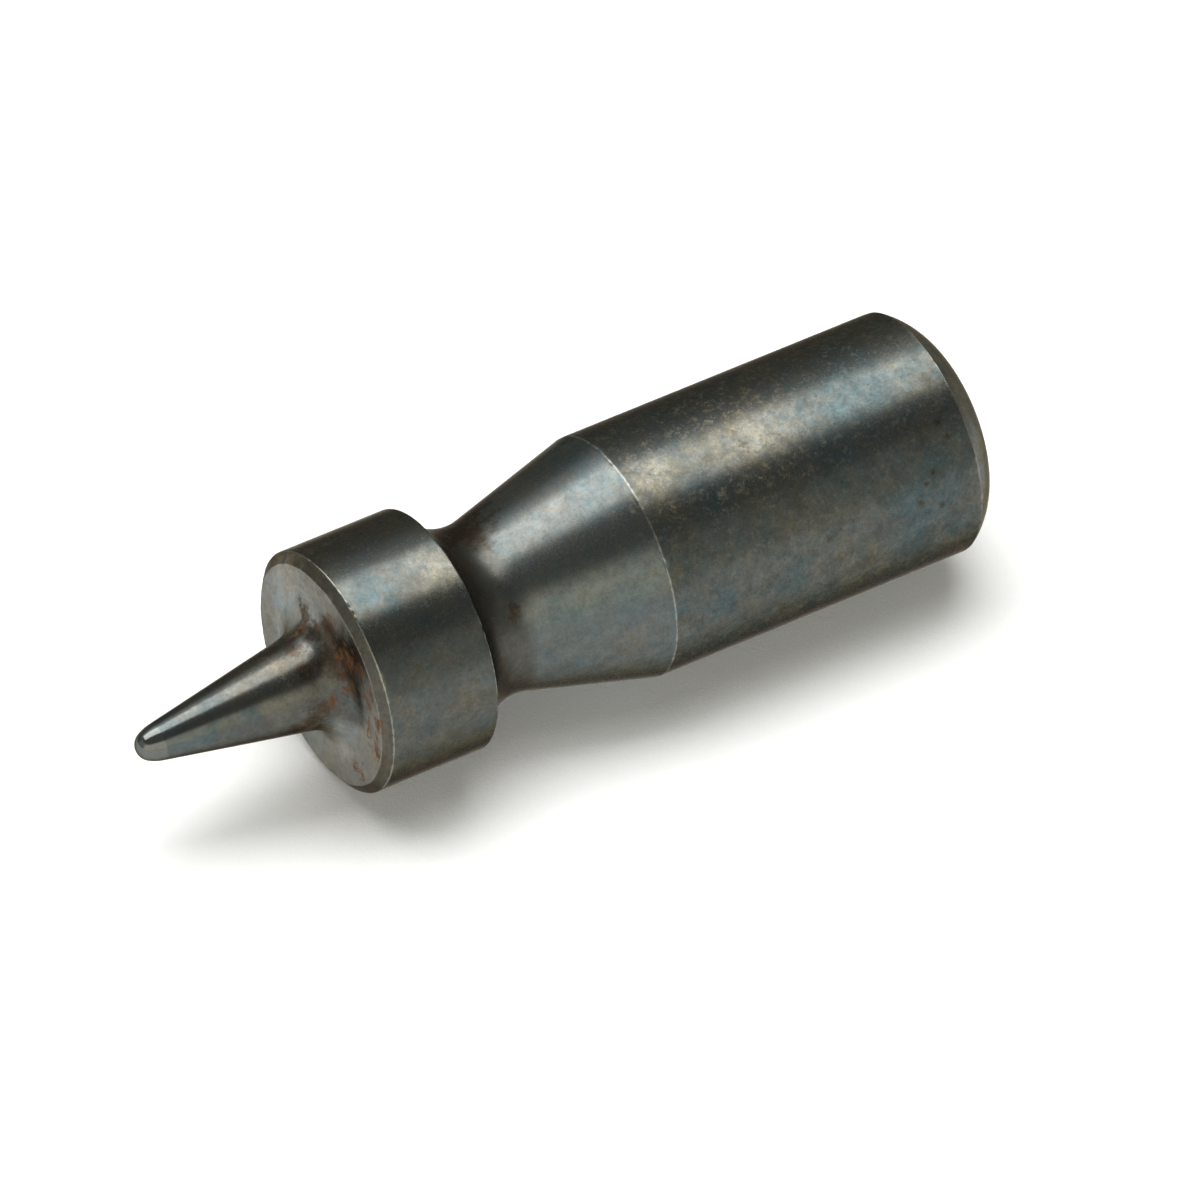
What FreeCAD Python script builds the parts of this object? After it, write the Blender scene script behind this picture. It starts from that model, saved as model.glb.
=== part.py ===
import FreeCAD, Part

import math
import os

# A press punch for chain rivets, turned in one piece from a round bar and lying on its side.
# The tool axis is X: the tapered tip points to -X, the domed head to +X, and +Z is up.
# The origin is on the tool axis, in the plane of the collar's front face.
# Lengths are in millimetres and angles in degrees.

# Bar: the collar and the shank keep its full diameter
bar_diameter = 12.7

# Tip: a taper with a rounded end, faired into the collar by a fillet
tip_length = 10.45
tip_root_diameter = 5.3
tip_end_diameter = 1.5
nose_radius = 0.8
nose_blend_radius = 2.7
root_fillet_radius = 1.65

# Collar: its front chamfer is wider on the face than it is long
collar_length = 6.35
front_chamfer_width = 0.55
front_chamfer_length = 0.4
rear_rim_width = 0.25

# Neck: a turned hollow behind the collar, running out into a long shoulder
neck_depth = 1.9
neck_radius = 3.1
shoulder_length = 10.2

# Shank: the plain length that slides in the press
shank_length = 17.6

# Head: a crown that is tighter towards its edge, where it meets the shank at an angle
crown_radius = 11.5
head_corner_radius = 4.0
head_edge_angle = 33.0

# Worn edges
edge_break = 0.1
shoulder_edge_radius = 0.6

# The largest share of its room that a rounding may take when the sizes round it shrink
room_share = 0.95

# Stations along the axis, from the collar's front face
bar_radius = bar_diameter / 2
collar_back = collar_length
shank_start = collar_back + shoulder_length
shank_end = shank_start + shank_length

AXIS_POINT = FreeCAD.Vector(0, 0, 0)
AXIS = FreeCAD.Vector(1, 0, 0)
FULL_TURN = 360
SAME_PLACE = 1e-4


def at(station, radius):
    """A point of the outline, which is drawn above the axis in the XZ plane."""
    return FreeCAD.Vector(station, 0, radius)


def line(start, end):
    return Part.LineSegment(start, end).toShape()


def on_circle(centre, radius, angle):
    return centre + at(radius * math.cos(angle), radius * math.sin(angle))


def arc(centre, radius, first, last):
    """An arc about centre, with angles in radians from +X towards the outside of the bar."""
    ends = [on_circle(centre, radius, angle) for angle in (first, (first + last) / 2, last)]
    return Part.Arc(*ends).toShape()


def tip_outline():
    """Rounded end, fairing, taper and root fillet, from the point to the collar's face."""
    root_radius = tip_root_diameter / 2
    taper = math.atan2(root_radius - tip_end_diameter / 2, tip_length)
    outward = math.pi / 2 + taper
    along = at(math.cos(taper), math.sin(taper))
    across = at(math.cos(outward), math.sin(outward))

    # the end is a little smaller than the ball that would just touch the taper
    full_nose = tip_end_diameter / 2 * math.cos(taper) / (1 - math.sin(taper))
    nose = min(nose_radius, room_share * full_nose)
    nose_centre = at(nose - tip_length, 0)
    depth = (at(0, root_radius) - nose_centre).dot(across)
    reach = nose_blend_radius - depth
    spread = math.sqrt((nose_blend_radius - nose) ** 2 - reach ** 2)
    blend_centre = nose_centre - across * reach + along * spread
    meeting = outward + math.atan2(spread, reach)

    # the fillet fits on the flat face, inside the front chamfer
    flare = (1 - math.sin(taper)) / math.cos(taper)
    face_width = bar_radius - front_chamfer_width - root_radius
    fillet = min(root_fillet_radius, room_share * face_width / flare)
    fillet_centre = at(-fillet, root_radius + fillet * flare)
    fillet_start = taper - math.pi / 2

    taper_start = on_circle(blend_centre, nose_blend_radius, outward)
    taper_end = on_circle(fillet_centre, fillet, fillet_start)
    return [
        arc(nose_centre, nose, math.pi, meeting),
        arc(blend_centre, nose_blend_radius, meeting, outward),
        line(taper_start, taper_end),
        arc(fillet_centre, fillet, fillet_start, 0),
    ], on_circle(fillet_centre, fillet, 0)


def collar_outline(face_start):
    """Flat front face, chamfer, full diameter and the narrow rim at the back."""
    corners = [
        face_start,
        at(0, bar_radius - front_chamfer_width),
        at(front_chamfer_length, bar_radius),
        at(collar_back, bar_radius),
    ]
    return [line(start, end) for start, end in zip(corners, corners[1:])]


def neck_outline():
    """Rim, hollow and shoulder, from the back of the collar to the start of the shank."""
    centre_height = bar_radius - neck_depth + neck_radius
    rise = max(centre_height - (bar_radius - rear_rim_width), 0)
    centre = at(collar_back + math.sqrt(neck_radius ** 2 - rise ** 2), centre_height)
    rim = at(collar_back, centre_height - rise)

    # the shoulder is the straight line that touches the hollow and ends at the shank
    shoulder_end = at(shank_start, bar_radius)
    span = shoulder_end - centre
    touch = math.atan2(span.z, span.x) - math.acos(neck_radius / span.Length)
    rim_angle = math.atan2(rim.z - centre.z, rim.x - centre.x)
    if rim_angle > 0:
        rim_angle -= 2 * math.pi
    return [
        line(at(collar_back, bar_radius), rim),
        arc(centre, neck_radius, rim_angle, touch),
        line(on_circle(centre, neck_radius, touch), shoulder_end),
    ]


def head_outline():
    """Tight corner and flatter crown, from the end of the shank to the axis."""
    lean = math.radians(head_edge_angle)
    corner = min(head_corner_radius, room_share * bar_radius / math.cos(lean))
    corner_centre = at(shank_end - corner * math.sin(lean), bar_radius - corner * math.cos(lean))
    meeting = math.asin(corner_centre.z / (crown_radius - corner))
    crown_centre = corner_centre - at((crown_radius - corner) * math.cos(meeting), corner_centre.z)
    crown_centre.z = 0
    return [
        arc(corner_centre, corner, math.pi / 2 - lean, meeting),
        arc(crown_centre, crown_radius, meeting, 0),
    ], on_circle(crown_centre, crown_radius, 0)


def turned_body():
    """The whole outline, closed along the axis and turned once about it."""
    tip, face_start = tip_outline()
    head, head_top = head_outline()
    edges = tip + collar_outline(face_start) + neck_outline()
    edges.append(line(at(shank_start, bar_radius), at(shank_end, bar_radius)))
    edges += head
    edges.append(line(head_top, at(-tip_length, 0)))
    outline = Part.Wire(Part.__sortEdges__(edges))
    return Part.Face(outline).revolve(AXIS_POINT, AXIS, FULL_TURN)


def rim_edges(body, station):
    """The circular edges of full bar size at one station."""
    return [
        edge
        for edge in body.Edges
        if not edge.Degenerated
        and edge.Closed
        and isinstance(edge.Curve, Part.Circle)
        and abs(edge.Curve.Center.x - station) < SAME_PLACE
        and abs(edge.Curve.Radius - bar_radius) < SAME_PLACE
    ]


def broken_edges(body):
    """Handling wear: the sharp rims are rounded off slightly, the shoulder's edge more."""
    for station, radius in (
        (front_chamfer_length, edge_break),
        (collar_back, edge_break),
        (shank_start, shoulder_edge_radius),
        (shank_end, edge_break),
    ):
        body = body.makeFillet(radius, rim_edges(body, station))
    return body


def punch():
    body = broken_edges(turned_body())
    if body.ShapeType != "Solid":
        body = body.Solids[0]
    return body


os.makedirs("parts", exist_ok=True)
punch().exportStep("parts/punch.step")
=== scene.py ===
"""A press punch for chain rivets, turned from one blackened steel bar and lying on its side."""

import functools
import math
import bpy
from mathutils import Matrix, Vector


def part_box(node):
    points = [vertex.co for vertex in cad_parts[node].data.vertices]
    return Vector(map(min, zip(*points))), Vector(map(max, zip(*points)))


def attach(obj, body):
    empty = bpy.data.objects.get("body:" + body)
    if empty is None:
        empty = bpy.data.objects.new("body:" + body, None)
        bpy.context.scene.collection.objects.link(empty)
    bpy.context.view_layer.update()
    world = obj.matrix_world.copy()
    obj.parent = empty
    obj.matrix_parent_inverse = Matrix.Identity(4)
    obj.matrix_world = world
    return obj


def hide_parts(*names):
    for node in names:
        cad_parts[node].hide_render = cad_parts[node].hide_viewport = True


bl_info = {
    "name": "Chain Breaker Punch",
    "version": (1, 0, 0),
    "blender": (4, 5, 0),
    "location": "3D View > Sidebar > Punch",
    "description": "Builds the turned and blackened punch and the small studio it lies in",
    "category": "Object",
}

from typing import NamedTuple

import bpy
from mathutils import Matrix, Vector

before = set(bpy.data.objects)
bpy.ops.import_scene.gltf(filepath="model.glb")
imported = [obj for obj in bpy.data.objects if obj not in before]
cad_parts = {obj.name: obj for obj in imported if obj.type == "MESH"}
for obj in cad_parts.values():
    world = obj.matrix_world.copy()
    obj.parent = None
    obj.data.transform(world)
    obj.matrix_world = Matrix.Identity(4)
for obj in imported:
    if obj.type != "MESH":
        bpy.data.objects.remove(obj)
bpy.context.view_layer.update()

MM = 0.001
SAME_PLACE = 1e-7
PUNCH_NODE = "punch"
PUNCH_LOW, PUNCH_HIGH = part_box(PUNCH_NODE)

PATH_ATTRIBUTE = "cut_length"
RIM_ATTRIBUTE = "rim_distance"
WEAR_ATTRIBUTE = "rim_wear"


class PunchSizes(bpy.types.PropertyGroup):
    """Sizes of the turned outline. The ones that the frame gives are read from it."""

    bar_radius: bpy.props.FloatProperty(
        name="Bar radius", unit="LENGTH", default=PUNCH_HIGH.z,
        description="Radius of the collar and of the shank")
    tip_length: bpy.props.FloatProperty(
        name="Tip length", unit="LENGTH", default=-PUNCH_LOW.x,
        description="From the collar's front face to the point")
    tip_root_radius: bpy.props.FloatProperty(
        name="Tip root radius", unit="LENGTH", default=2.65 * MM,
        description="Radius that the taper would have in the plane of the front face")
    tip_end_radius: bpy.props.FloatProperty(
        name="Tip end radius", unit="LENGTH", default=0.75 * MM,
        description="Radius that the taper would have at the point")
    nose_radius: bpy.props.FloatProperty(
        name="Nose radius", unit="LENGTH", default=0.8 * MM,
        description="Ball at the end of the tip")
    nose_blend_radius: bpy.props.FloatProperty(
        name="Nose fairing radius", unit="LENGTH", default=2.7 * MM,
        description="Arc that fairs the ball into the taper")
    root_fillet_radius: bpy.props.FloatProperty(
        name="Root fillet radius", unit="LENGTH", default=1.65 * MM,
        description="Fillet from the taper into the front face")
    collar_length: bpy.props.FloatProperty(
        name="Collar length", unit="LENGTH", default=6.35 * MM,
        description="From the front face to the collar's sharp rear edge")
    front_chamfer_width: bpy.props.FloatProperty(
        name="Front chamfer width", unit="LENGTH", default=0.55 * MM,
        description="How much of the front face the chamfer takes")
    front_chamfer_length: bpy.props.FloatProperty(
        name="Front chamfer length", unit="LENGTH", default=0.4 * MM,
        description="How much of the collar's rim the chamfer takes")
    rear_rim_width: bpy.props.FloatProperty(
        name="Rear rim width", unit="LENGTH", default=0.25 * MM,
        description="Flat land between the collar's rear edge and the neck")
    neck_depth: bpy.props.FloatProperty(
        name="Neck depth", unit="LENGTH", default=1.9 * MM,
        description="How far the hollow goes below the bar's surface")
    neck_radius: bpy.props.FloatProperty(
        name="Neck hollow radius", unit="LENGTH", default=3.1 * MM,
        description="Arc of the hollow behind the collar")
    shoulder_length: bpy.props.FloatProperty(
        name="Shoulder length", unit="LENGTH", default=10.2 * MM,
        description="From the collar's rear edge to the start of the shank")
    shank_length: bpy.props.FloatProperty(
        name="Shank length", unit="LENGTH", default=17.6 * MM,
        description="Plain length that slides in the press")
    crown_radius: bpy.props.FloatProperty(
        name="Crown radius", unit="LENGTH", default=11.5 * MM,
        description="Flatter arc at the middle of the head")
    head_corner_radius: bpy.props.FloatProperty(
        name="Head corner radius", unit="LENGTH", default=4.0 * MM,
        description="Tighter arc at the edge of the head")
    head_edge_angle: bpy.props.FloatProperty(
        name="Head edge angle", subtype="ANGLE", default=math.radians(33),
        description="How steeply the head leaves the shank")
    edge_break: bpy.props.FloatProperty(
        name="Edge break", unit="LENGTH", default=0.1 * MM,
        description="Rounding of the worn rims")
    shoulder_edge_radius: bpy.props.FloatProperty(
        name="Shoulder edge radius", unit="LENGTH", default=0.6 * MM,
        description="Softer rounding where the shoulder meets the shank")


class PunchWear(bpy.types.PropertyGroup):
    """What handling and the lathe left on the punch."""

    segments: bpy.props.IntProperty(
        name="Segments", default=420, min=32,
        description="Faces round the bar")
    rim_waviness: bpy.props.FloatProperty(
        name="Rim waviness", unit="LENGTH", default=0.05 * MM,
        description="How far the chamfer's inner rim wanders")
    nick_depth: bpy.props.FloatProperty(
        name="Nick depth", unit="LENGTH", default=0.06 * MM,
        description="Deepest nick in a rim")
    nick_reach: bpy.props.FloatProperty(
        name="Nick reach", unit="LENGTH", default=0.14 * MM,
        description="How far a nick spreads from its rim")
    seed: bpy.props.FloatProperty(
        name="Seed", default=3.0,
        description="Another value gives other nicks")


class PunchColours(bpy.types.PropertyGroup):
    """Tones of the blackened steel, as linear colours."""

    blackening: bpy.props.FloatVectorProperty(
        name="Blackening", subtype="COLOR", size=3, default=(0.105, 0.109, 0.099),
        description="Even black oxide")
    thin_oxide: bpy.props.FloatVectorProperty(
        name="Thin oxide", subtype="COLOR", size=3, default=(0.42, 0.425, 0.41),
        description="Grey where the oxide is thin, on the faced ends")
    bluing: bpy.props.FloatVectorProperty(
        name="Bluing", subtype="COLOR", size=3, default=(0.64, 0.92, 1.09),
        description="Cast of the steel blue heat tint over the oxide")
    straw: bpy.props.FloatVectorProperty(
        name="Straw", subtype="COLOR", size=3, default=(1.22, 1.09, 0.85),
        description="Cast of the straw heat tint over the oxide")
    bloom: bpy.props.FloatVectorProperty(
        name="Bloom", subtype="COLOR", size=3, default=(0.2, 0.178, 0.13),
        description="Dull tan specks of dried oil")
    umber: bpy.props.FloatVectorProperty(
        name="Umber", subtype="COLOR", size=3, default=(0.062, 0.042, 0.027),
        description="Brown scale in the neck and at the tip's root")
    rust: bpy.props.FloatVectorProperty(
        name="Rust", subtype="COLOR", size=3, default=(0.135, 0.06, 0.026),
        description="Fresh rust")
    bare_steel: bpy.props.FloatVectorProperty(
        name="Bare steel", subtype="COLOR", size=3, default=(0.41, 0.4, 0.35),
        description="Steel worn bright on the rims and the point")


class PunchStudio(bpy.types.PropertyGroup):
    """Camera, lamps, room and floor."""

    camera_azimuth: bpy.props.FloatProperty(
        name="Camera azimuth", subtype="ANGLE", default=math.radians(-31.19),
        description="Zero looks along +Y")
    camera_elevation: bpy.props.FloatProperty(
        name="Camera elevation", subtype="ANGLE", default=math.radians(42.51),
        description="Height above the horizon")
    camera_distance: bpy.props.FloatProperty(
        name="Camera distance", unit="LENGTH", default=1156.93 * MM,
        description="From the camera to the punch")
    camera_lens: bpy.props.FloatProperty(
        name="Camera lens", default=706.0,
        description="Focal length in millimetres on a 36 mm sensor")
    aim_station: bpy.props.FloatProperty(
        name="Aim station", unit="LENGTH", default=14.88 * MM,
        description="Place on the tool axis that the camera looks near")
    aim_right: bpy.props.FloatProperty(
        name="Aim right", unit="LENGTH", default=0.932 * MM,
        description="How far the picture's middle lies to the right of that place")
    aim_up: bpy.props.FloatProperty(
        name="Aim up", unit="LENGTH", default=-1.533 * MM,
        description="How far the picture's middle lies above that place")
    softbox_distance: bpy.props.FloatProperty(
        name="Softbox distance", unit="LENGTH", default=0.5,
        description="From the punch to the softbox")
    softbox_width: bpy.props.FloatProperty(
        name="Softbox width", unit="LENGTH", default=0.7,
        description="Size of the softbox across the view")
    softbox_depth: bpy.props.FloatProperty(
        name="Softbox depth", unit="LENGTH", default=0.347,
        description="Size of the softbox along the view")
    softbox_turn: bpy.props.FloatProperty(
        name="Softbox turn", subtype="ANGLE", default=math.radians(12),
        description="How far the softbox is turned from being square with the camera")
    softbox_lean: bpy.props.FloatProperty(
        name="Softbox lean", subtype="ANGLE", default=math.radians(17.7),
        description="How far the softbox hangs behind the punch, seen from the camera")
    softbox_slide: bpy.props.FloatProperty(
        name="Softbox slide", subtype="ANGLE", default=math.radians(-4),
        description="How far the softbox hangs to the camera's right")
    softbox_radiance: bpy.props.FloatProperty(
        name="Softbox radiance", default=3.6,
        description="Brightness of its cloth, where 1 is white paper")
    ceiling_size: bpy.props.FloatProperty(
        name="Ceiling lamp size", unit="LENGTH", default=0.56,
        description="Diameter of the dim lamp above, which only fills the shadow")
    ceiling_height: bpy.props.FloatProperty(
        name="Ceiling lamp height", unit="LENGTH", default=0.6,
        description="From the punch to the ceiling lamp")
    ceiling_lean: bpy.props.FloatProperty(
        name="Ceiling lamp lean", subtype="ANGLE", default=math.radians(4),
        description="How far it hangs behind the punch, seen from the camera")
    ceiling_share: bpy.props.FloatProperty(
        name="Ceiling lamp share", default=0.42,
        description="How much of the floor's light comes from the ceiling lamp")
    room_dark: bpy.props.FloatVectorProperty(
        name="Dark of the room", subtype="COLOR", size=3, default=(0.072, 0.077, 0.07),
        description="Brightness above the punch")
    room_back: bpy.props.FloatVectorProperty(
        name="Back of the room", subtype="COLOR", size=3, default=(0.1, 0.09, 0.05),
        description="Brightness low behind the punch")
    room_glow: bpy.props.FloatProperty(
        name="Glow", default=1.1,
        description="Brightness of the lamp's spill high behind the punch")
    room_side: bpy.props.FloatVectorProperty(
        name="Side of the room", subtype="COLOR", size=3, default=(0.37, 0.37, 0.34),
        description="Brightness of the low walls beside the punch")
    room_front: bpy.props.FloatVectorProperty(
        name="Front of the room", subtype="COLOR", size=3, default=(1.32, 1.26, 1.08),
        description="Brightness of the card under the camera")
    wall_height: bpy.props.FloatProperty(
        name="Wall height", subtype="ANGLE", default=math.radians(36),
        description="How high the low walls and the card reach, seen from the punch")
    floor_size: bpy.props.FloatProperty(
        name="Floor size", unit="LENGTH", default=6.0,
        description="Side of the square floor")
    paper: bpy.props.FloatVectorProperty(
        name="Paper", subtype="COLOR", size=3, default=(0.955, 0.955, 0.945),
        description="White of the floor's paper")
    shadow_lift: bpy.props.FloatVectorProperty(
        name="Shadow lift", subtype="COLOR", size=3, default=(0.053, 0.054, 0.058),
        description="How much the paper is lifted where the camera sees it")
    # painted light: where the steel mirrors the paper it mostly glows, which lifts its shadow in
    # reflections, and beyond the paper's reach it glows dimly in place of the dark room
    mirrored_white: bpy.props.FloatProperty(
        name="Mirrored paper", default=0.2,
        description="Share of its light that the paper keeps where the steel mirrors it")
    mirrored_lift: bpy.props.FloatProperty(
        name="Mirrored shadow lift", default=0.78,
        description="How much the paper is lifted there instead")
    paper_reach: bpy.props.FloatProperty(
        name="Paper reach", unit="LENGTH", default=60 * MM,
        description="How far behind the punch the mirrored paper stays bright")
    far_paper: bpy.props.FloatVectorProperty(
        name="Far paper", subtype="COLOR", size=3, default=(0.3, 0.27, 0.18),
        description="Brightness of the mirrored paper beyond that")


class Finish(NamedTuple):
    """How the steel looks at one place along the cut.

    All but the roughness are shares from 0 to 1, and the tint goes from -1, straw, to 1, blue.
    """

    roughness: float
    pale: float = 0.0
    bare: float = 0.0
    umber: float = 0.0
    tint: float = 0.0
    speckle: float = 0.0
    turning: float = 0.0


BALL = Finish(0.13, pale=0.14, tint=0.1, bare=0.06)
TIP = Finish(0.17, pale=0.09, umber=0.03, tint=0.25, speckle=0.3, turning=0.25)
TIP_ROOT = Finish(0.25, pale=0.06, umber=0.5, tint=0.1, speckle=0.4, turning=0.3)
FILLET = Finish(0.3, pale=0.6, umber=0.1, tint=0.1, speckle=0.4, turning=0.6)
FACE = Finish(0.4, pale=0.64, speckle=0.3, turning=1.0)
FACE_RIM = Finish(0.4, pale=0.56, umber=0.1, tint=-0.1, speckle=0.4, turning=1.0)
CHAMFER = Finish(0.34, pale=0.03, umber=0.3, tint=-0.2, speckle=0.4, turning=0.6)
COLLAR = Finish(0.23, tint=0.02, speckle=0.5, turning=0.15)
REAR_LAND = Finish(0.34, umber=0.8, speckle=0.1)
NECK = Finish(0.3, pale=0.03, umber=0.3, speckle=0.1)
NECK_END = Finish(0.27, pale=0.12, umber=0.05, tint=0.15, speckle=0.3, turning=0.3)
SHOULDER = Finish(0.24, pale=0.1, tint=0.3, speckle=0.4, turning=0.3)
SHANK = Finish(0.27, tint=0.05, speckle=1.0, turning=0.12)
HEAD = Finish(0.27, pale=0.42, speckle=0.5, turning=0.3)

# each zone runs from the mark before it to its own, with the finish at its start and at its end
ZONES = (
    ("ball", BALL, BALL),
    ("taper", BALL, BALL),
    ("root", TIP, TIP_ROOT),
    ("fillet", TIP_ROOT, FILLET),
    ("face", FILLET, FACE),
    ("chamfer_inner", FACE, FACE_RIM),
    ("chamfer_outer", CHAMFER, CHAMFER),
    ("collar_back", COLLAR, COLLAR),
    ("neck", REAR_LAND, NECK),
    ("shoulder", NECK, NECK_END),
    ("shank_start", NECK_END, SHOULDER),
    ("head_edge", SHANK, SHANK),
    ("end", HEAD, HEAD),
)

# marks that the photograph shows: station, radius, angle from the top (+ is the far side) and reach
RUST_MARKS = (
    (0.0, 4.4, -14, 0.9), (0.0, 4.1, -40, 1.1), (0.0, 5.0, -48, 0.8), (0.0, 4.9, -67, 0.9),
    (0.0, 5.5, -79, 0.8), (0.0, 4.8, -88, 1.0), (0.0, 5.0, -134, 0.8), (-0.4, 3.4, -63, 0.8),
    (0.0, 5.3, -100, 0.8), (-0.9, 2.9, -78, 0.7), (-0.9, 2.9, 18, 0.6), (0.0, 5.3, -62, 0.8),
)
UMBER_MARKS = (
    (-1.3, 2.6, -82, 0.9), (-0.9, 2.9, 18, 0.9), (-0.3, 3.5, 23, 0.8), (-1.9, 2.4, -98, 1.0),
    (-0.4, 3.3, -30, 1.6), (-0.1, 4.0, -38, 1.7), (0.0, 4.9, -40, 1.4), (-0.6, 3.1, 0, 0.9),
    (-0.2, 3.7, -12, 0.8), (-0.4, 3.4, -52, 1.0), (-1.6, 2.5, -3, 0.8), (-1.7, 2.4, -30, 0.7),
    (-2.6, 2.2, -112, 0.9), (-0.2, 3.7, -66, 0.8),
    (7.4, 5.0, 8, 1.6), (8.7, 4.5, 16, 2.1), (9.6, 4.5, 45, 2.4), (8.8, 4.45, -52, 0.6),
    (32.8, 6.35, -43, 0.32), (31.9, 6.35, -80, 0.22), (25.5, 6.35, -74, 0.3), (31.7, 6.35, -63, 0.2),
    (31.2, 6.35, -67, 0.16), (30.7, 6.35, -75, 0.2), (33.0, 6.35, -50, 0.2),
)
# painted shade: darker film on the tip's root and the front face, standing in for dark reflections there
PAINTED_SHADE_MARKS = (
    (-0.5, 3.2, -82, 1.5), (-0.4, 3.3, -58, 1.5), (-0.5, 3.2, -30, 1.4), (-0.2, 3.6, -12, 1.1),
    (0.0, 4.3, -40, 1.5), (0.0, 5.2, -42, 1.3),
)
# painted highlight: paler film in the lit band on the collar and shank and on the fillet's bright spot, and
# painted reflection on the upper half of the front face
PAINTED_HIGHLIGHT_MARKS = (
    (24.0, 6.35, -14, 2.4), (18.0, 6.35, -12, 1.4), (5.4, 6.35, -16, 1.2), (-0.7, 3.0, -16, 0.5),
    (0.0, 4.6, 50, 3.4), (-0.4, 3.4, 52, 1.9), (-0.4, 3.3, 85, 1.3), (-0.3, 3.5, -145, 1.3),
)
BLUE_MARKS = (
    (-0.4, 3.3, -74, 0.7), (-4.9, 1.8, -58, 0.7), (-7.2, 1.4, -70, 0.7), (-8.7, 1.1, -77, 0.6),
    (1.9, 6.35, -17, 1.8), (29.5, 6.35, -17, 3.4), (31.0, 6.35, -76, 3.6), (19.2, 6.35, -84, 1.4),
    (23.3, 6.35, -86, 1.2), (16.9, 6.35, -77, 0.8), (27.0, 6.35, -38, 3.0), (20.0, 6.35, -34, 2.0),
)
STRAW_MARKS = (
    (5.3, 6.35, -19, 1.3), (4.8, 6.35, -80, 1.2), (1.2, 6.35, -74, 1.0), (22.8, 6.35, -19, 3.6),
    (18.0, 6.35, -20, 2.2), (-2.5, 2.2, -12, 0.8), (27.8, 6.35, -95, 1.2), (14.0, 5.9, -93, 1.0),
)


class Pattern(NamedTuple):
    """A noise: how many times it repeats in a millimetre, and how it breaks up."""

    scale: float
    detail: float
    roughness: float
    distortion: float = 0.0


CLOUD = Pattern(0.22, 3.0, 0.6)
RIM_WAVES = Pattern(0.35, 2.0, 0.5)
HUE = Pattern(0.83, 7.0, 0.82)
BLOTCH = Pattern(0.9, 6.0, 0.7, 0.3)
MOTTLE = Pattern(1.15, 8.0, 0.88)
RIM_NICKS = Pattern(1.3, 4.0, 0.6)
STREAKS = Pattern(1.6, 4.0, 0.6)
RAGGED = Pattern(1.7, 7.0, 0.8)
PAPER_FIBRES = Pattern(2.2, 4.0, 0.7, 1.5)
RIM_WIDTH = Pattern(3.0, 4.0, 0.65)
GRIT = Pattern(4.7, 5.0, 0.8)
LATHE_MARKS = Pattern(7.0, 4.0, 0.65)

# how strongly the patterns and the marks show in the oxide
RING_CONTRAST = 0.35
# painted highlight: how much paler the film gets at those marks, more on the faced surfaces
PAINTED_HIGHLIGHT_SHARE = 0.1
PAINTED_HIGHLIGHT_SHARE_FACED = 0.3
# painted shade: how much darker the film gets at those marks
PAINTED_SHADE_SHARE = 0.6
TINT_PATCHINESS = 2.0
SPECKLE_PATCHINESS = 1.5
BLUE_SHARE = 0.6
STRAW_SHARE = 0.5
UMBER_SHARE = 0.85
BLOOM_SHARE = 0.35
GRAIN_CONTRAST = 1.3
PIT_TONE = 0.7
RUST_LINES = 0.6

# how the surface reflects, and how deep its marks are
MOTTLE_ROUGHNESS = 0.4
BLOOM_ROUGHNESS = 0.12
RUST_ROUGHNESS = 0.3
STEEL_METALLIC = 0.88
RUST_METALLIC_LOSS = 0.6
EDGE_TINT = (0.24, 0.2, 0.13, 1.0)
LATHE_MARK_DEPTH = 0.003 * MM
BLOTCH_DEPTH = 0.004 * MM
GRIT_DEPTH = 0.0016 * MM
PAPER_FIBRE_DEPTH = 0.04 * MM


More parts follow.
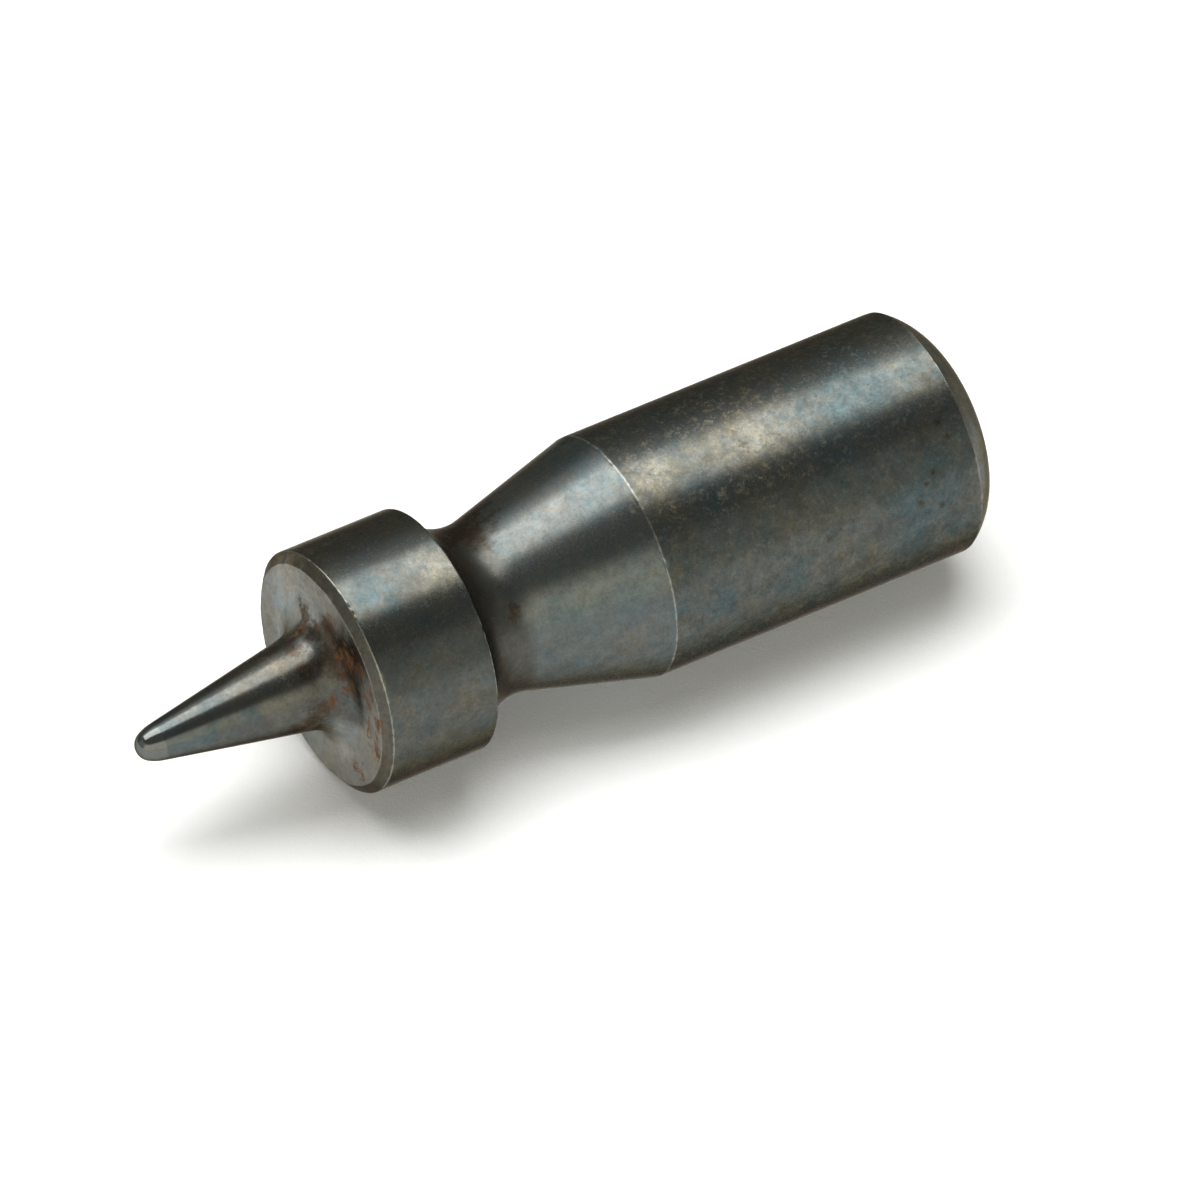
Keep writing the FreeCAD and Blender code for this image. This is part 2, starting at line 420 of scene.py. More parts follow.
class NodeBench:
    """Adds nodes to one tree and joins them."""

    def __init__(self, tree):
        self.tree = tree

    def add(self, kind, inputs=(), **settings):
        node = self.tree.nodes.new(kind)
        for name, value in settings.items():
            setattr(node, name, value)
        for key, value in dict(inputs).items():
            self.feed(node.inputs[key], value)
        return node

    def output(self, kind, inputs=(), **settings):
        """Adds a node and returns its first output."""
        return self.add(kind, inputs, **settings).outputs[0]

    def feed(self, socket, value):
        if isinstance(value, bpy.types.NodeSocket):
            self.tree.links.new(value, socket)
        else:
            socket.default_value = value

    def math(self, operation, *values):
        return self.output("ShaderNodeMath", enumerate(values), operation=operation)

    def ramp(self, value, low, high, start=0.0, end=1.0):
        """Eases from start to end while value goes from low to high."""
        inputs = {"Value": value, "From Min": low, "From Max": high, "To Min": start, "To Max": end}
        return self.output("ShaderNodeMapRange", inputs, interpolation_type="SMOOTHSTEP")

    def noise(self, place, pattern, seed=None):
        inputs = {
            "Vector": place,
            "Scale": pattern.scale,
            "Detail": pattern.detail,
            "Roughness": pattern.roughness,
            "Distortion": pattern.distortion,
        }
        if seed is None:
            return self.output("ShaderNodeTexNoise", inputs)
        return self.output("ShaderNodeTexNoise", {**inputs, "W": seed}, noise_dimensions="4D")

    def bump(self, height, depth, strength=1.0, **below):
        """A normal that follows a height, on top of the normal below if one is given."""
        inputs = {"Strength": strength, "Distance": depth, "Height": height, **below}
        return self.output("ShaderNodeBump", inputs)

    def centred(self, noise):
        return self.math("SUBTRACT", noise, 0.5)

    def plus(self, value, extra, share=1.0):
        """Adds a share of extra to value."""
        return self.math("MULTIPLY_ADD", extra, share, value)

    def times(self, *values):
        return functools.reduce(lambda a, b: self.math("MULTIPLY", a, b), values)

    def most(self, *values):
        return functools.reduce(lambda a, b: self.math("MAXIMUM", a, b), values)

    def least(self, *values):
        return functools.reduce(lambda a, b: self.math("MINIMUM", a, b), values)

    def vector(self, operation, *values):
        """All outputs of a vector sum: 0 is the vector, "Value" the number."""
        return self.add("ShaderNodeVectorMath", enumerate(values), operation=operation).outputs

    def scaled(self, colour, share):
        return self.output("ShaderNodeVectorMath", {0: colour, "Scale": share}, operation="SCALE")

    def along(self, vector, direction):
        """How far a vector reaches along a direction of length 1."""
        return self.vector("DOT_PRODUCT", vector, direction)["Value"]

    def place(self):
        """The place on the object, in millimetres."""
        return self.scaled(self.add("ShaderNodeTexCoord").outputs["Object"], 1 / MM)

    def own(self, name):
        """A number that the mesh carries."""
        return self.add("ShaderNodeAttribute", attribute_name=name).outputs["Fac"]

    def blend(self, share, first, second):
        """Mixes two colours, from first at 0 to second at 1."""
        colours = [c if isinstance(c, bpy.types.NodeSocket) else (*c, 1.0) for c in (first, second)]
        # inputs 6 and 7 and output 2 are the ones for colours
        inputs = {0: share, 6: colours[0], 7: colours[1]}
        return self.add("ShaderNodeMix", inputs, data_type="RGBA").outputs[2]


class HalfSection:
    """The punch's outline in the half plane through its axis, as points of station and radius."""

    def __init__(self):
        self.points = []
        self.marks = {}
        self.rims = []

    def add(self, points):
        for point in points:
            if not self.points or (point - self.points[-1]).length > SAME_PLACE:
                self.points.append(point)

    def line_to(self, end, steps):
        """Runs straight on, with points closer together near both ends to keep shading crisp there."""
        start = self.points[-1]
        shares = [(1 - math.cos(math.pi * i / steps)) / 2 for i in range(steps + 1)]
        self.add([start.lerp(end, share) for share in shares])

    def mark(self, name):
        """Keeps how far along the outline this place is."""
        self.marks[name] = self.lengths()[-1]

    def rim(self, name, wear):
        """Marks a rim that handling has worn, from 0, as turned, to 1, bright."""
        self.mark(name)
        self.rims.append((self.marks[name], wear))

    def lengths(self):
        total = [0.0]
        for first, second in zip(self.points, self.points[1:]):
            total.append(total[-1] + (second - first).length)
        return total


def on_circle(centre, radius, angle):
    return centre + radius * Vector((math.cos(angle), math.sin(angle)))


def arc(centre, radius, first, last, steps):
    """Points of an arc, with angles from +X towards the outside of the bar."""
    return [on_circle(centre, radius, first + (last - first) * i / steps) for i in range(steps + 1)]


def rounded_corner(corner, before, after, radius, steps):
    """Points of the arc that rounds a corner, touching the lines to the points before and after."""
    back = (before - corner).normalized()
    ahead = (after - corner).normalized()
    half = back.angle(ahead) / 2
    centre = corner + (back + ahead).normalized() * radius / math.sin(half)
    touch = [corner + side * radius / math.tan(half) - centre for side in (back, ahead)]
    first = math.atan2(touch[0].y, touch[0].x)
    turn = -touch[0].angle_signed(touch[1])
    return arc(centre, radius, first, first + turn, steps)


def tip_section(section, sizes):
    """Ball, fairing, taper and root fillet."""
    taper = math.atan2(sizes.tip_root_radius - sizes.tip_end_radius, sizes.tip_length)
    outward = math.pi / 2 + taper
    along = Vector((math.cos(taper), math.sin(taper)))
    across = Vector((math.cos(outward), math.sin(outward)))
    nose_centre = Vector((sizes.nose_radius - sizes.tip_length, 0))
    depth = (Vector((0, sizes.tip_root_radius)) - nose_centre).dot(across)
    reach = sizes.nose_blend_radius - depth
    spread = math.sqrt((sizes.nose_blend_radius - sizes.nose_radius) ** 2 - reach ** 2)
    blend_centre = nose_centre - across * reach + along * spread
    meeting = outward + math.atan2(spread, reach)
    fillet = sizes.root_fillet_radius
    flare = (1 - math.sin(taper)) / math.cos(taper)
    fillet_centre = Vector((-fillet, sizes.tip_root_radius + fillet * flare))

    section.add(arc(nose_centre, sizes.nose_radius, math.pi, meeting, 12))
    section.mark("ball")
    section.add(arc(blend_centre, sizes.nose_blend_radius, meeting, outward, 8))
    section.mark("taper")
    root = arc(fillet_centre, fillet, taper - math.pi / 2, 0, 14)
    section.line_to(root[0], 20)
    section.mark("root")
    section.add(root[:7])
    section.mark("fillet")
    section.add(root[7:])
    section.mark("face")


def collar_section(section, sizes):
    """Front face, chamfer, collar and the narrow land behind it."""
    inner = Vector((0, sizes.bar_radius - sizes.front_chamfer_width))
    outer = Vector((sizes.front_chamfer_length, sizes.bar_radius))
    back = Vector((sizes.collar_length, sizes.bar_radius))
    land = Vector((sizes.collar_length, sizes.bar_radius - sizes.rear_rim_width))
    soft = sizes.edge_break / 2
    inner_round = rounded_corner(inner, section.points[-1], outer, soft, 4)
    outer_round = rounded_corner(outer, inner, back, sizes.edge_break, 5)
    back_round = rounded_corner(back, outer, land, sizes.edge_break, 6)
    section.line_to(inner_round[0], 12)
    section.add(inner_round[:3])
    section.rim("chamfer_inner", 0.35)
    section.add(inner_round[3:])
    section.line_to(outer_round[0], 5)
    section.add(outer_round[:3])
    section.rim("chamfer_outer", 0.6)
    section.add(outer_round[3:])
    section.line_to(back_round[0], 24)
    section.add(back_round[:4])
    section.rim("collar_back", 0.8)
    section.add(back_round[4:])
    section.line_to(land, 3)


def neck_section(section, sizes):
    """Hollow and shoulder, up to the start of the shank."""
    centre_height = sizes.bar_radius - sizes.neck_depth + sizes.neck_radius
    rise = centre_height - (sizes.bar_radius - sizes.rear_rim_width)
    run = math.sqrt(sizes.neck_radius ** 2 - rise ** 2)
    centre = Vector((sizes.collar_length + run, centre_height))
    shoulder_end = Vector((sizes.collar_length + sizes.shoulder_length, sizes.bar_radius))
    span = shoulder_end - centre
    touch = math.atan2(span.y, span.x) - math.acos(sizes.neck_radius / span.length)
    hollow = arc(centre, sizes.neck_radius, -math.pi + math.atan2(rise, run), touch, 24)
    deepest = next(i for i, point in enumerate(hollow) if point.x > centre.x)
    shank_end = shoulder_end + Vector((sizes.shank_length, 0))
    edge = rounded_corner(shoulder_end, hollow[-1], shank_end, sizes.shoulder_edge_radius, 6)
    section.add(hollow[:deepest])
    section.mark("neck")
    section.add(hollow[deepest:])
    section.mark("shoulder")
    section.line_to(edge[0], 26)
    section.add(edge[:4])
    section.rim("shank_start", 0.6)
    section.add(edge[4:])


def head_section(section, sizes):
    """Shank and crown, to the axis."""
    shank_end = Vector((sizes.collar_length + sizes.shoulder_length + sizes.shank_length, sizes.bar_radius))
    lean = sizes.head_edge_angle
    corner = sizes.head_corner_radius
    corner_centre = shank_end - corner * Vector((math.sin(lean), math.cos(lean)))
    meeting = math.asin(corner_centre.y / (sizes.crown_radius - corner))
    crown_centre = Vector((corner_centre.x - (sizes.crown_radius - corner) * math.cos(meeting), 0))
    fall = shank_end + Vector((math.cos(lean), -math.sin(lean))) * sizes.edge_break
    edge = rounded_corner(shank_end, section.points[-1], fall, sizes.edge_break, 4)
    section.line_to(edge[0], 30)
    section.add(edge[:3])
    section.rim("head_edge", 0.4)
    section.add(edge[3:])
    start = math.atan2(*reversed(edge[-1] - corner_centre))
    section.add(arc(corner_centre, corner, start, meeting, 12)[1:])
    section.add(arc(crown_centre, sizes.crown_radius, meeting, 0, 18))
    section.mark("end")


def punch_section(sizes):
    """The whole outline, from the point to the top of the head."""
    section = HalfSection()
    tip_section(section, sizes)
    collar_section(section, sizes)
    neck_section(section, sizes)
    head_section(section, sizes)
    for end in (0, -1):
        section.points[end].y = 0.0
    return section


def finish_at(section, length):
    """The finish at one place along the outline."""
    start = 0.0
    for name, first, last in ZONES:
        end = section.marks[name]
        if length <= end:
            share = (length - start) / (end - start)
            return Finish(*(a + (b - a) * share for a, b in zip(first, last)))
        start = end
    return ZONES[-1][-1]


def add_object(name, data):
    made = bpy.data.objects.new(name, data)
    bpy.context.scene.collection.objects.link(made)
    return made


def section_object(section):
    """The outline as a chain of edges that carries its finish and how far each point is from a rim."""
    mesh = bpy.data.meshes.new("half_section")
    chain = [(i, i + 1) for i in range(len(section.points) - 1)]
    mesh.from_pydata([(p.x, 0, p.y) for p in section.points], chain, [])
    lengths = section.lengths()
    nearest = [min((abs(length - place), wear) for place, wear in section.rims) for length in lengths]
    distances, wears = zip(*nearest)
    columns = {PATH_ATTRIBUTE: lengths, RIM_ATTRIBUTE: distances, WEAR_ATTRIBUTE: wears}
    finishes = [finish_at(section, length) for length in lengths]
    columns.update(zip(Finish._fields, zip(*finishes)))
    for name, values in columns.items():
        mesh.attributes.new(name, "FLOAT", "POINT").data.foreach_set("value", values)
    return add_object("half_section", mesh)


def lathe_tree():
    """Turns a half section about the X axis, closes it, and wears its rims."""
    tree = bpy.data.node_groups.new("Turn the bar", "GeometryNodeTree")
    for name, kind in (
        ("Geometry", "Geometry"),
        ("Segments", "Int"),
        ("Rim waviness", "Float"),
        ("Nick depth", "Float"),
        ("Nick reach", "Float"),
        ("Seed", "Float"),
        ("Steel", "Material"),
    ):
        tree.interface.new_socket(name, in_out="INPUT", socket_type="NodeSocket" + kind)
    tree.interface.new_socket("Geometry", in_out="OUTPUT", socket_type="NodeSocketGeometry")
    bench = NodeBench(tree)
    given = bench.add("NodeGroupInput").outputs

    # one column of points for each place round the bar, and one more to close the circle
    count = bench.add("GeometryNodeAttributeDomainSize", {0: given["Geometry"]}).outputs["Point Count"]
    columns = bench.math("ADD", given["Segments"], 1)
    grid = bench.add("GeometryNodeMeshGrid", {"Vertices X": count, "Vertices Y": columns}).outputs["Mesh"]
    index = bench.output("GeometryNodeInputIndex")
    ring = bench.math("FLOOR", bench.math("DIVIDE", bench.math("ADD", index, 0.5), columns))
    column = bench.math("SUBTRACT", index, bench.times(ring, columns))
    share = bench.math("DIVIDE", bench.math("MODULO", column, given["Segments"]), given["Segments"])
    turn = bench.times(share, math.tau)

    def from_section(value, kind):
        return bench.output(
            "GeometryNodeSampleIndex", {"Geometry": given["Geometry"], "Value": value, "Index": ring},
            data_type=kind, domain="POINT")

    place = from_section(bench.output("GeometryNodeInputPosition"), "FLOAT_VECTOR")
    parts = bench.add("ShaderNodeSeparateXYZ", {0: place}).outputs
    turned = bench.output("ShaderNodeCombineXYZ", {
        "X": parts["X"],
        "Y": bench.times(parts["Z"], bench.math("SINE", turn)),
        "Z": bench.times(parts["Z"], bench.math("COSINE", turn)),
    })
    body = grid
    for name in (PATH_ATTRIBUTE, RIM_ATTRIBUTE, WEAR_ATTRIBUTE, *Finish._fields):
        own = bench.output("GeometryNodeInputNamedAttribute", {"Name": name}, data_type="FLOAT")
        value = from_section(own, "FLOAT")
        body = bench.output(
            "GeometryNodeStoreNamedAttribute", {"Geometry": body, "Name": name, "Value": value},
            data_type="FLOAT", domain="POINT")
    body = bench.output("GeometryNodeSetPosition", {"Geometry": body, "Position": turned})
    body = bench.output("GeometryNodeMergeByDistance", {"Geometry": body, "Distance": SAME_PLACE})

    body = worn_rims(bench, body, given)
    body = bench.output("GeometryNodeSetShadeSmooth", {"Geometry": body, "Shade Smooth": True})
    body = bench.output("GeometryNodeRealizeInstances", {"Geometry": body})
    body = bench.output("GeometryNodeSetMaterial", {"Geometry": body, "Material": given["Steel"]})
    bench.add("NodeGroupOutput", {"Geometry": body})
    return tree


def worn_rims(bench, body, given):
    """Lets the rims wander a little and presses small nicks into them."""
    position = bench.output("GeometryNodeInputPosition")
    normal = bench.output("GeometryNodeInputNormal")
    place = bench.scaled(position, 1 / MM)
    distance = bench.output("GeometryNodeInputNamedAttribute", {"Name": RIM_ATTRIBUTE}, data_type="FLOAT")
    near = bench.ramp(bench.math("DIVIDE", distance, given["Nick reach"]), 0.0, 1.0, 1.0, 0.0)
    chips = bench.noise(place, RIM_NICKS, given["Seed"])
    nick = bench.times(bench.ramp(chips, 0.52, 0.75), given["Nick depth"])
    wave = bench.noise(place, RIM_WAVES, bench.math("ADD", given["Seed"], 10.0))
    wander = bench.times(bench.centred(wave), given["Rim waviness"])
    push = bench.times(bench.math("SUBTRACT", wander, nick), near)
    offset = bench.scaled(normal, push)
    return bench.output("GeometryNodeSetPosition", {"Geometry": body, "Offset": offset})


def turned_mesh(blank, wear, steel):
    """Runs the lathe tree on the outline and returns a plain mesh object."""
    tree = lathe_tree()
    modifier = blank.modifiers.new("Turn the bar", "NODES")
    modifier.node_group = tree
    sockets = {item.name: item.identifier for item in tree.interface.items_tree if item.in_out == "INPUT"}
    for name, value in (
        ("Segments", wear.segments),
        ("Rim waviness", wear.rim_waviness),
        ("Nick depth", wear.nick_depth),
        ("Nick reach", wear.nick_reach),
        ("Seed", wear.seed),
        ("Steel", steel),
    ):
        modifier[sockets[name]] = value
    bpy.context.view_layer.update()
    turned = blank.evaluated_get(bpy.context.evaluated_depsgraph_get())
    mesh = bpy.data.meshes.new_from_object(turned)
    bpy.data.objects.remove(blank)
    mesh.name = "turned_punch"
    return add_object("turned_punch", mesh)


class BlackenedSteel(NodeBench):
    """Black oxide over turned steel, with heat tint, patina, rust and bright worn rims."""

    def __init__(self, tree, colours):
        super().__init__(tree)
        self.colours = colours
        self.spot = self.place()
        self.blotch = self.noise(self.spot, BLOTCH)
        self.mottle = self.noise(self.spot, MOTTLE)
        self.ragged = self.noise(self.spot, RAGGED)
        self.grit = self.noise(self.spot, GRIT)
        self.lathe_marks = self.rings(LATHE_MARKS, 0.03)
        self.straw = self.stained(STRAW_MARKS)
        self.bloom = self.dried_oil()
        self.rust = self.rusted()

    def rings(self, pattern, stretch):
        """A pattern that is drawn out along the cutting direction."""
        parts = self.add("ShaderNodeSeparateXYZ", {0: self.spot}).outputs
        along = self.output("ShaderNodeCombineXYZ", {
            "X": self.math("DIVIDE", self.own(PATH_ATTRIBUTE), MM),
            "Y": self.times(parts["Y"], stretch),
            "Z": self.times(parts["Z"], stretch),
        })
        return self.noise(along, pattern)

    def stained(self, marks, depth=1.0, raggedness=5.0):
        """How strongly the nearest of the marks shows at this place, with a soft and ragged edge. Some
        marks are real stains, others painted highlight and painted shade.
        """
        distances = []
        for station, radius, angle, reach in marks:
            turn = math.radians(angle)
            centre = (station, radius * math.sin(turn), radius * math.cos(turn))
            distance = self.vector("DISTANCE", self.spot, centre)["Value"]
            distances.append(self.math("DIVIDE", distance, reach))
        closeness = self.times(self.math("SUBTRACT", 1.0, self.least(*distances)), depth)
        return self.ramp(self.plus(closeness, self.centred(self.ragged), raggedness), -0.2, 1.0)

    def dried_oil(self):
        """Dull specks, most of them where the film is speckled or straw."""
        specks = self.ramp(self.plus(self.grit, self.centred(self.ragged), 0.8), 0.5, 0.68)
        return self.times(specks, self.math("ADD", self.own("speckle"), self.straw))

    def rusted(self):
        """Rust that follows thin lines inside its marks."""
        streaks = self.centred(self.rings(STREAKS, 0.3))
        lines = self.ramp(self.math("ABSOLUTE", streaks), 0.0, 0.07, 1.0, 0.0)
        lines = self.plus(1 - RUST_LINES, lines, RUST_LINES)
        return self.ramp(self.times(self.stained(RUST_MARKS), lines), 0.0, 0.9)

    def oxide(self):
        """Black film, thin on the faced ends and along the turning marks; paler at the marks of painted
        highlight and painted reflection, darker at the marks of painted shade.
        """
        rings = self.times(self.centred(self.lathe_marks), self.own("turning"))
        pale = self.plus(self.own("pale"), rings, RING_CONTRAST)
        # painted highlight and painted reflection: paler film at the listed marks
        painted_highlight_share = self.plus(PAINTED_HIGHLIGHT_SHARE, self.own("turning"), PAINTED_HIGHLIGHT_SHARE_FACED)
        pale = self.plus(pale, self.stained(PAINTED_HIGHLIGHT_MARKS), painted_highlight_share)
        # painted shade: darker film at the tip's root and on the face
        pale = self.plus(pale, self.stained(PAINTED_SHADE_MARKS, 1.8, 1.5), -PAINTED_SHADE_SHARE)
        return self.blend(self.most(pale, 0.0), self.colours.blackening, self.colours.thin_oxide)

    def tinted(self, colour):
        """Heat tint over the film, from straw below 0 to blue above it."""
        patchy = self.plus(TINT_PATCHINESS, self.own("speckle"), SPECKLE_PATCHINESS)
        tint = self.plus(self.own("tint"), self.centred(self.noise(self.spot, HUE)), patchy)
        tint = self.plus(tint, self.centred(self.noise(self.spot, CLOUD)))
        tint = self.plus(tint, self.stained(BLUE_MARKS), BLUE_SHARE)
        tint = self.plus(tint, self.straw, -STRAW_SHARE)
        cast = self.blend(self.ramp(tint, -0.3, 1.1), (1.0, 1.0, 1.0), self.colours.bluing)
        cast = self.blend(self.ramp(tint, 0.2, -1.1), cast, self.colours.straw)
        return self.vector("MULTIPLY", colour, cast)[0]

    def scaly(self, colour):
        """Brown scale in the hollows."""
        scale = self.times(self.ramp(self.blotch, 0.3, 0.62, 0.3, 1.0), self.own("umber"))
        scale = self.most(scale, self.times(self.stained(UMBER_MARKS, 1.3), UMBER_SHARE))
        return self.blend(scale, colour, self.colours.umber)

    def grainy(self, colour):
        """Dull specks, small pits and the fine grain of the film."""
        colour = self.blend(self.times(self.bloom, BLOOM_SHARE), colour, self.colours.bloom)
        contrast = self.math("ADD", self.own("speckle"), GRAIN_CONTRAST)
        tone = self.plus(1.0, self.centred(self.mottle), contrast)
        return self.scaled(colour, self.times(tone, self.ramp(self.grit, 0.33, 0.4, PIT_TONE, 1.0)))

    def worn(self, colour):
        """Bare steel in a thin uneven line along the rims, and a little of it on the point."""
        rim = self.math("DIVIDE", self.own(RIM_ATTRIBUTE), MM)
        width = self.ramp(self.noise(self.spot, RIM_WIDTH), 0.35, 0.65, 0.02, 0.07)
        line = self.ramp(self.math("DIVIDE", rim, width), 0.5, 1.3, 1.0, 0.0)
        line = self.times(line, self.own(WEAR_ATTRIBUTE), self.ramp(self.blotch, 0.35, 0.6, 0.45, 1.0))
        return self.blend(self.most(line, self.own("bare")), colour, self.colours.bare_steel)

    def colour(self):
        colour = self.grainy(self.scaly(self.tinted(self.oxide())))
        return self.worn(self.blend(self.rust, colour, self.colours.rust))

    def roughness(self):
        rough = self.plus(self.own("roughness"), self.centred(self.mottle), -MOTTLE_ROUGHNESS)
        rough = self.plus(rough, self.bloom, BLOOM_ROUGHNESS)
        return self.plus(rough, self.rust, RUST_ROUGHNESS)

    def relief(self):
        """Turning marks, then the film's own unevenness."""
        relief = self.bump(self.lathe_marks, LATHE_MARK_DEPTH, self.own("turning"))
        relief = self.bump(self.blotch, BLOTCH_DEPTH, Normal=relief)
        return self.bump(self.grit, GRIT_DEPTH, Normal=relief)


def emptied_tree(holder):
    """The node tree of a new material or world, without the nodes that it starts with."""
    holder.use_nodes = True
    holder.node_tree.nodes.clear()
    return holder.node_tree


def blackened_steel(colours):
    material = bpy.data.materials.new("Blackened turned steel")
    steel = BlackenedSteel(emptied_tree(material), colours)
    skin = steel.output("ShaderNodeBsdfPrincipled", {
        "Base Color": steel.colour(),
        "Metallic": steel.plus(STEEL_METALLIC, steel.rust, -RUST_METALLIC_LOSS),
        "Roughness": steel.roughness(),
        "Normal": steel.relief(),
        "Specular Tint": EDGE_TINT,
    })
    steel.add("ShaderNodeOutputMaterial", {"Surface": skin})
    return material


def view_axes(studio):
    """To the camera's right and away from it, both level."""
    cosine, sine = math.cos(studio.camera_azimuth), math.sin(studio.camera_azimuth)
    return Vector((cosine, sine, 0)), Vector((-sine, cosine, 0))


def floor_paper(studio):
    """White paper that keeps the punch's shadow. In reflections it glows, painted light that makes it
    evener and lifts its shadow there, and far behind it is a dimmer glowing sheet that stands in for the
    dark room.
    """
    material = bpy.data.materials.new("White paper")
    bench = NodeBench(emptied_tree(material))
    place = bench.place()
    tooth = bench.bump(bench.noise(place, PAPER_FIBRES), PAPER_FIBRE_DEPTH)
    seen = bench.add("ShaderNodeLightPath").outputs
    mirrored = bench.most(seen["Is Glossy Ray"], seen["Is Transmission Ray"])
    plain = bench.output("ShaderNodeBsdfDiffuse", {"Color": (*studio.paper, 1.0), "Normal": tooth})
    lift = bench.output("ShaderNodeEmission", {"Color": (*studio.shadow_lift, 1.0)})
    lift = bench.output("ShaderNodeMixShader", {0: seen["Is Camera Ray"], 2: lift})
    direct = bench.output("ShaderNodeAddShader", {0: plain, 1: lift})
    # painted light: in reflections the paper mostly glows, which lifts its shadow there
    pale = bench.output("ShaderNodeBsdfDiffuse", {"Color": [studio.mirrored_white] * 3 + [1.0]})
    glow = bench.output("ShaderNodeEmission", {"Color": [studio.mirrored_lift] * 3 + [1.0]})
    near = bench.output("ShaderNodeAddShader", {0: pale, 1: glow})
    # painted light: far behind, a dim glow stands in for the dark room in reflections
    far_glow = bench.output("ShaderNodeEmission", {"Color": (*studio.far_paper, 1.0)})
    away = view_axes(studio)[1]
    reach = studio.paper_reach / MM
    behind = bench.ramp(bench.along(place, away), reach / 4, reach)
    reflected = bench.output("ShaderNodeMixShader", {0: behind, 1: near, 2: far_glow})
    paper = bench.output("ShaderNodeMixShader", {0: mirrored, 1: direct, 2: reflected})
    bench.add("ShaderNodeOutputMaterial", {"Surface": paper})
    return material


def lay_floor(studio):
    """A floor that the punch lies on."""
    half = studio.floor_size / 2
    corners = [(-half, -half), (half, -half), (half, half), (-half, half)]
    mesh = bpy.data.meshes.new("floor")
    mesh.from_pydata([(x, y, PUNCH_LOW.z) for x, y in corners], [], [(0, 1, 2, 3)])
    mesh.materials.append(floor_paper(studio))
    add_object("floor", mesh)


def hang(lamp, studio, turn, lean, distance):
    """Hangs a lamp over the place that the camera looks near, leaning back by an angle."""
    aim = Matrix.Translation((studio.aim_station, 0, 0))
    back = Matrix.Rotation(-lean, 4, "X")
    lamp.matrix_world = aim @ turn @ back @ Matrix.Translation((0, 0, distance))


def hang_softbox(studio):
    """One large soft lamp above the punch, a little behind it and turned from the camera."""
    lamp = bpy.data.lights.new("softbox", "AREA")
    lamp.shape = "RECTANGLE"
    lamp.size = studio.softbox_width
    lamp.size_y = studio.softbox_depth
    lamp.energy = studio.softbox_radiance * math.pi * lamp.size * lamp.size_y
    softbox = add_object("softbox", lamp)
    turn = Matrix.Rotation(studio.camera_azimuth + studio.softbox_turn, 4, "Z")
    slide = Matrix.Rotation(studio.softbox_slide, 4, "Y")
    hang(softbox, studio, turn @ slide, studio.softbox_lean, studio.softbox_distance)


def hang_ceiling_lamp(studio):
    """A wide dim lamp above, which lightens the far part of the shadow and isn't mirrored."""
    lamp = bpy.data.lights.new("ceiling_lamp", "AREA")
    lamp.shape = "DISK"
    lamp.size = studio.ceiling_size
    # a surface at this distance then gets the given share of plain white light
    lamp.energy = studio.ceiling_share * math.pi ** 2 * studio.ceiling_height ** 2
    ceiling_lamp = add_object("ceiling_lamp", lamp)
    turn = Matrix.Rotation(studio.camera_azimuth, 4, "Z")
    hang(ceiling_lamp, studio, turn, studio.ceiling_lean, studio.ceiling_height)
    ceiling_lamp.visible_glossy = False


def light_room(studio):
    """Dim surroundings, with low walls beside the punch, a card under the camera and the lamp's spill."""
    world = bpy.data.worlds.new("Room")
    bpy.context.scene.world = world
    bench = NodeBench(emptied_tree(world))
    direction = bench.add("ShaderNodeTexCoord").outputs["Generated"]
    height = bench.add("ShaderNodeSeparateXYZ", {0: direction}).outputs["Z"]
    to_right, away = view_axes(studio)
    nearness = bench.along(direction, -away)

    top = math.sin(studio.wall_height)
    # soft steps by height, which is 1 straight up, and by nearness, which is 1 towards the camera
    low = bench.ramp(height, top - 0.06, top + 0.14, 1.0, 0.0)
    beside = bench.ramp(nearness, -0.4, 0.0)
    wall = bench.blend(bench.ramp(nearness, 0.5, 0.8), studio.room_side, studio.room_front)
    wall = bench.scaled(wall, bench.times(low, beside))
    behind = bench.ramp(nearness, -0.5, -0.1, 1.0, 0.0)
    spill = bench.ramp(bench.along(direction, to_right), -0.35, 0.05, 1.0, 0.35)
    glow = bench.times(behind, bench.ramp(height, 0.38, 0.75), spill, studio.room_glow)
    low_back = bench.times(behind, bench.ramp(height, 0.35, 0.6, 1.0, 0.0))
    horizon = bench.ramp(height, -0.02, 0.03, 1.0, 0.0)

    colour = bench.blend(low_back, studio.room_dark, studio.room_back)
    for other in (wall, bench.scaled((1.0, 1.0, 1.0), bench.most(glow, horizon))):
        colour = bench.vector("MAXIMUM", colour, other)[0]
    room = bench.output("ShaderNodeBackground", {"Color": colour})
    bench.add("ShaderNodeOutputWorld", {"Surface": room})


def set_camera(studio):
    """Camera at the photograph's angle, with a long lens."""
    elevation = studio.camera_elevation
    right, away = view_axes(studio)
    back = Vector((0, 0, math.sin(elevation))) - away * math.cos(elevation)
    up = back.cross(right)
    data = bpy.data.cameras.new("camera")
    data.sensor_width = 36.0
    data.lens = studio.camera_lens
    camera = add_object("camera", data)
    aim = Vector((studio.aim_station, 0, 0)) + right * studio.aim_right + up * studio.aim_up
    turn = Matrix((right, up, back)).transposed().to_4x4()
    camera.matrix_world = Matrix.Translation(aim + back * studio.camera_distance) @ turn
    bpy.context.scene.camera = camera


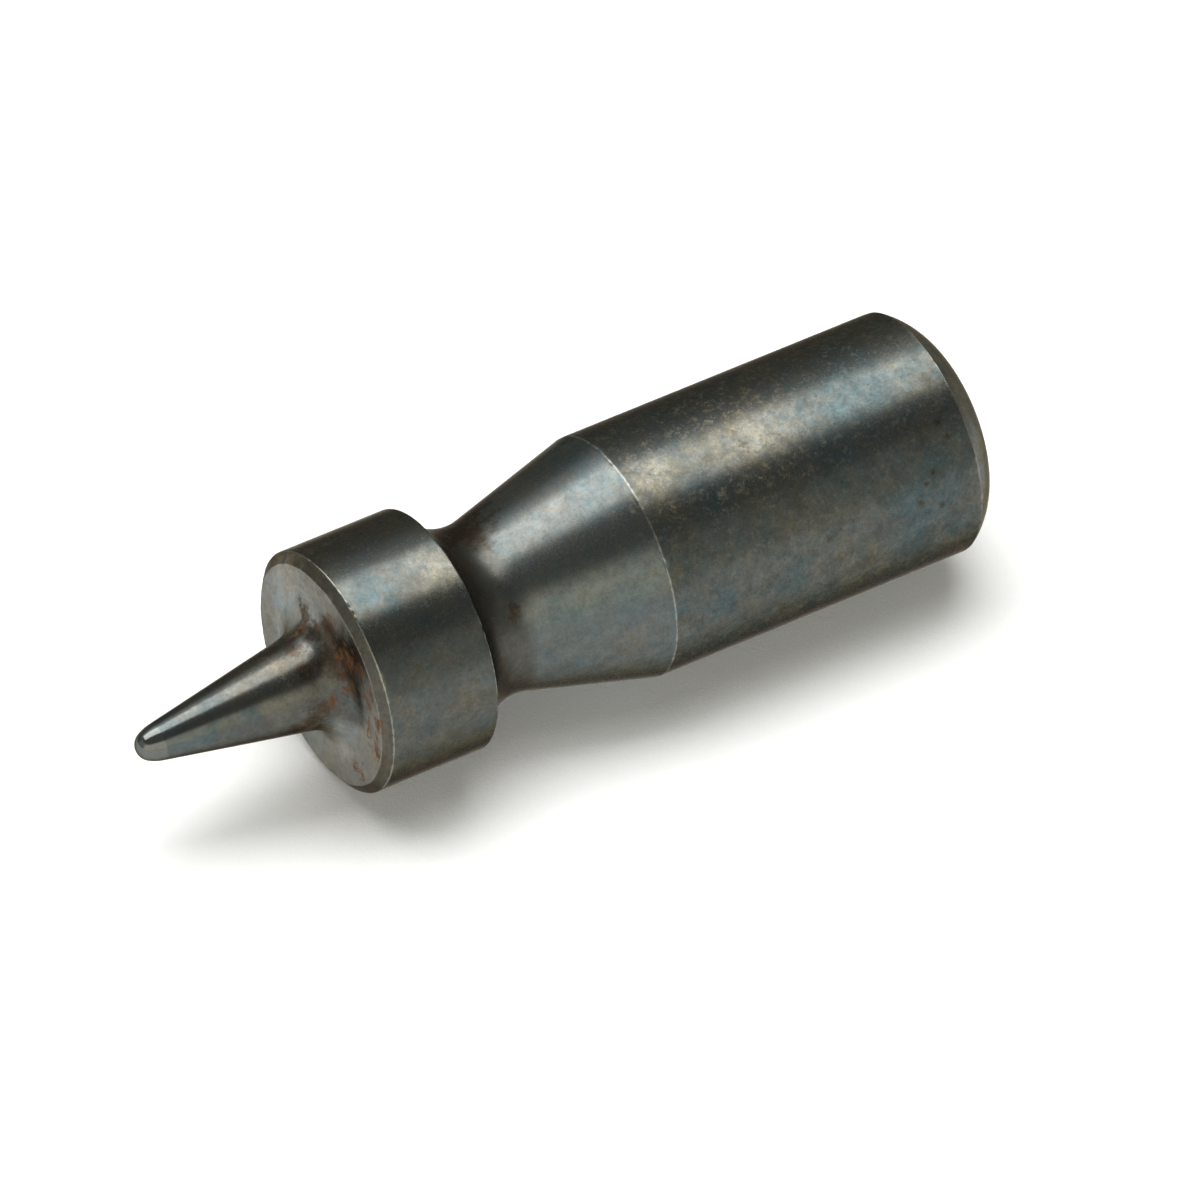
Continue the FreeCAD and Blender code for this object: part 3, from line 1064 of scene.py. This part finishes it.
class OBJECT_OT_turn_punch(bpy.types.Operator):
    """Turn the punch from its outline and blacken it"""

    bl_idname = "object.turn_punch"
    bl_label = "Turned punch"

    def execute(self, context):
        scene = context.scene
        section = punch_section(scene.punch_sizes)
        steel = blackened_steel(scene.punch_colours)
        piece = turned_mesh(section_object(section), scene.punch_wear, steel)
        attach(piece, "root")
        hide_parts(PUNCH_NODE)
        return {"FINISHED"}


class OBJECT_OT_set_punch_stage(bpy.types.Operator):
    """Lay the floor, hang the lamp and set the camera"""

    bl_idname = "object.set_punch_stage"
    bl_label = "Stage"

    def execute(self, context):
        studio = context.scene.punch_studio
        lay_floor(studio)
        hang_softbox(studio)
        hang_ceiling_lamp(studio)
        light_room(studio)
        set_camera(studio)
        context.scene.view_settings.view_transform = "Standard"
        return {"FINISHED"}


class VIEW3D_PT_punch(bpy.types.Panel):
    """Lists the punch's sizes, finish and stage"""

    bl_idname = "VIEW3D_PT_punch"
    bl_label = "Chain breaker punch"
    bl_space_type = "VIEW_3D"
    bl_region_type = "UI"
    bl_category = "Punch"

    def draw(self, context):
        scene = context.scene
        for group, operator in (
            (scene.punch_sizes, OBJECT_OT_turn_punch),
            (scene.punch_wear, None),
            (scene.punch_colours, None),
            (scene.punch_studio, OBJECT_OT_set_punch_stage),
        ):
            column = self.layout.column(align=True)
            for name in group.__annotations__:
                column.prop(group, name)
            if operator:
                column.operator(operator.bl_idname)


GROUPS = {
    "punch_sizes": PunchSizes,
    "punch_wear": PunchWear,
    "punch_colours": PunchColours,
    "punch_studio": PunchStudio,
}
CLASSES = (*GROUPS.values(), OBJECT_OT_turn_punch, OBJECT_OT_set_punch_stage, VIEW3D_PT_punch)


def register():
    for cls in CLASSES:
        bpy.utils.register_class(cls)
    for name, group in GROUPS.items():
        setattr(bpy.types.Scene, name, bpy.props.PointerProperty(type=group))


def unregister():
    for name in GROUPS:
        delattr(bpy.types.Scene, name)
    for cls in reversed(CLASSES):
        bpy.utils.unregister_class(cls)


def main():
    register()
    bpy.ops.object.turn_punch()
    bpy.ops.object.set_punch_stage()


if __name__ == "__main__":
    main()
